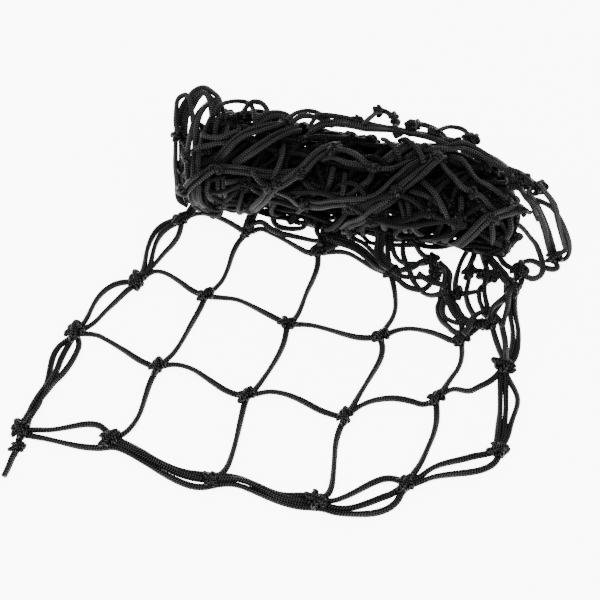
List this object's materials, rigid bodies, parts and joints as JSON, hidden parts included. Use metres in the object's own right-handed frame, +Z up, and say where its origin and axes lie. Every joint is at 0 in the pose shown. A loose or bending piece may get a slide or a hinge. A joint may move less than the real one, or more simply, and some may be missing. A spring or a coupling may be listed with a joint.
{
  "type": "tennis net",
  "caption": "Knotted square-mesh court net of black braided cord with doubled border cords, rolled up with its near rows laid out flat.",
  "frame": {"origin": "bottom centre of the whole object, on the surface it lies on", "axes": "+Z up, +X along the longer side, from the net's left edge to its right; the laid-out rows are towards -Y and the roll towards +Y"},
  "size_m": [0.2647, 0.2164, 0.0552],
  "materials": {
    "mesh_cord": "matt braid",
    "border_cord": "matt braid",
    "rolled_net": "matt braid"
  },
  "bodies": {
    "rolled_bundle": {"column_cord_1_far": "mesh_cord", "column_cord_2_far": "mesh_cord", "column_cord_3_far": "mesh_cord", "column_cord_4_far": "mesh_cord", "draped_loops": "rolled_net", "left_border_far_a": "border_cord", "left_border_far_b": "border_cord", "left_border_far_d": "border_cord", "left_knot_2": "border_cord", "left_knot_3": "border_cord", "mesh_knot_21": "mesh_cord", "mesh_knot_22": "mesh_cord", "mesh_knot_23": "mesh_cord", "mesh_knot_24": "mesh_cord", "mesh_knot_31": "mesh_cord", "mesh_knot_32": "mesh_cord", "mesh_knot_33": "mesh_cord", "right_border_far_a": "border_cord", "right_border_far_b": "border_cord", "right_border_far_c": "border_cord", "right_knot_1": "border_cord", "right_knot_2": "border_cord", "right_knot_3": "border_cord", "rolled_net": "rolled_net", "row_cord_1_end": "mesh_cord", "row_cord_2": "mesh_cord", "row_cord_3": "mesh_cord", "side_knot": "border_cord", "side_link": "border_cord", "side_loop": "border_cord"},
    "near_rows": {"column_cord_1_near": "mesh_cord", "column_cord_2_near": "mesh_cord", "column_cord_3_near": "mesh_cord", "column_cord_4_near": "mesh_cord", "left_border_near_a": "border_cord", "left_border_near_b": "border_cord", "left_border_near_c": "border_cord", "left_knot_1": "border_cord", "mesh_knot_11": "mesh_cord", "mesh_knot_12": "mesh_cord", "mesh_knot_13": "mesh_cord", "mesh_knot_14": "mesh_cord", "near_border_a": "border_cord", "near_border_b": "border_cord", "near_border_c": "border_cord", "near_knot_1": "border_cord", "near_knot_2": "border_cord", "near_knot_3": "border_cord", "near_knot_4": "border_cord", "near_knot_5": "border_cord", "right_border_near_a": "border_cord", "right_border_near_b": "border_cord", "right_border_near_c": "border_cord", "row_cord_1": "mesh_cord"},
    "corner": {"corner_knot": "border_cord", "corner_left_cords": "border_cord", "corner_near_cords": "border_cord", "stopper_knot": "border_cord"},
    "tail": {"tail_cord": "border_cord"}
  },
  "joints": [
    {"name": "near_fold", "type": "hinge", "parent": "rolled_bundle", "child": "near_rows", "pos_m": [-0.004, -0.0215, 0.00135], "axis": [-0.9671, 0.2545, 0], "range_deg": [0, 100]},
    {"name": "corner_fold", "type": "hinge", "parent": "near_rows", "child": "corner", "pos_m": [-0.11515, -0.059, 0.00135], "axis": [-0.5434, 0.8395, 0], "range_deg": [0, 90]},
    {"name": "tail_swing", "type": "hinge", "parent": "corner", "child": "tail", "pos_m": [-0.128, -0.075, 0.00135], "axis": [0, 0, 1], "range_deg": [-40, 40]}
  ]
}
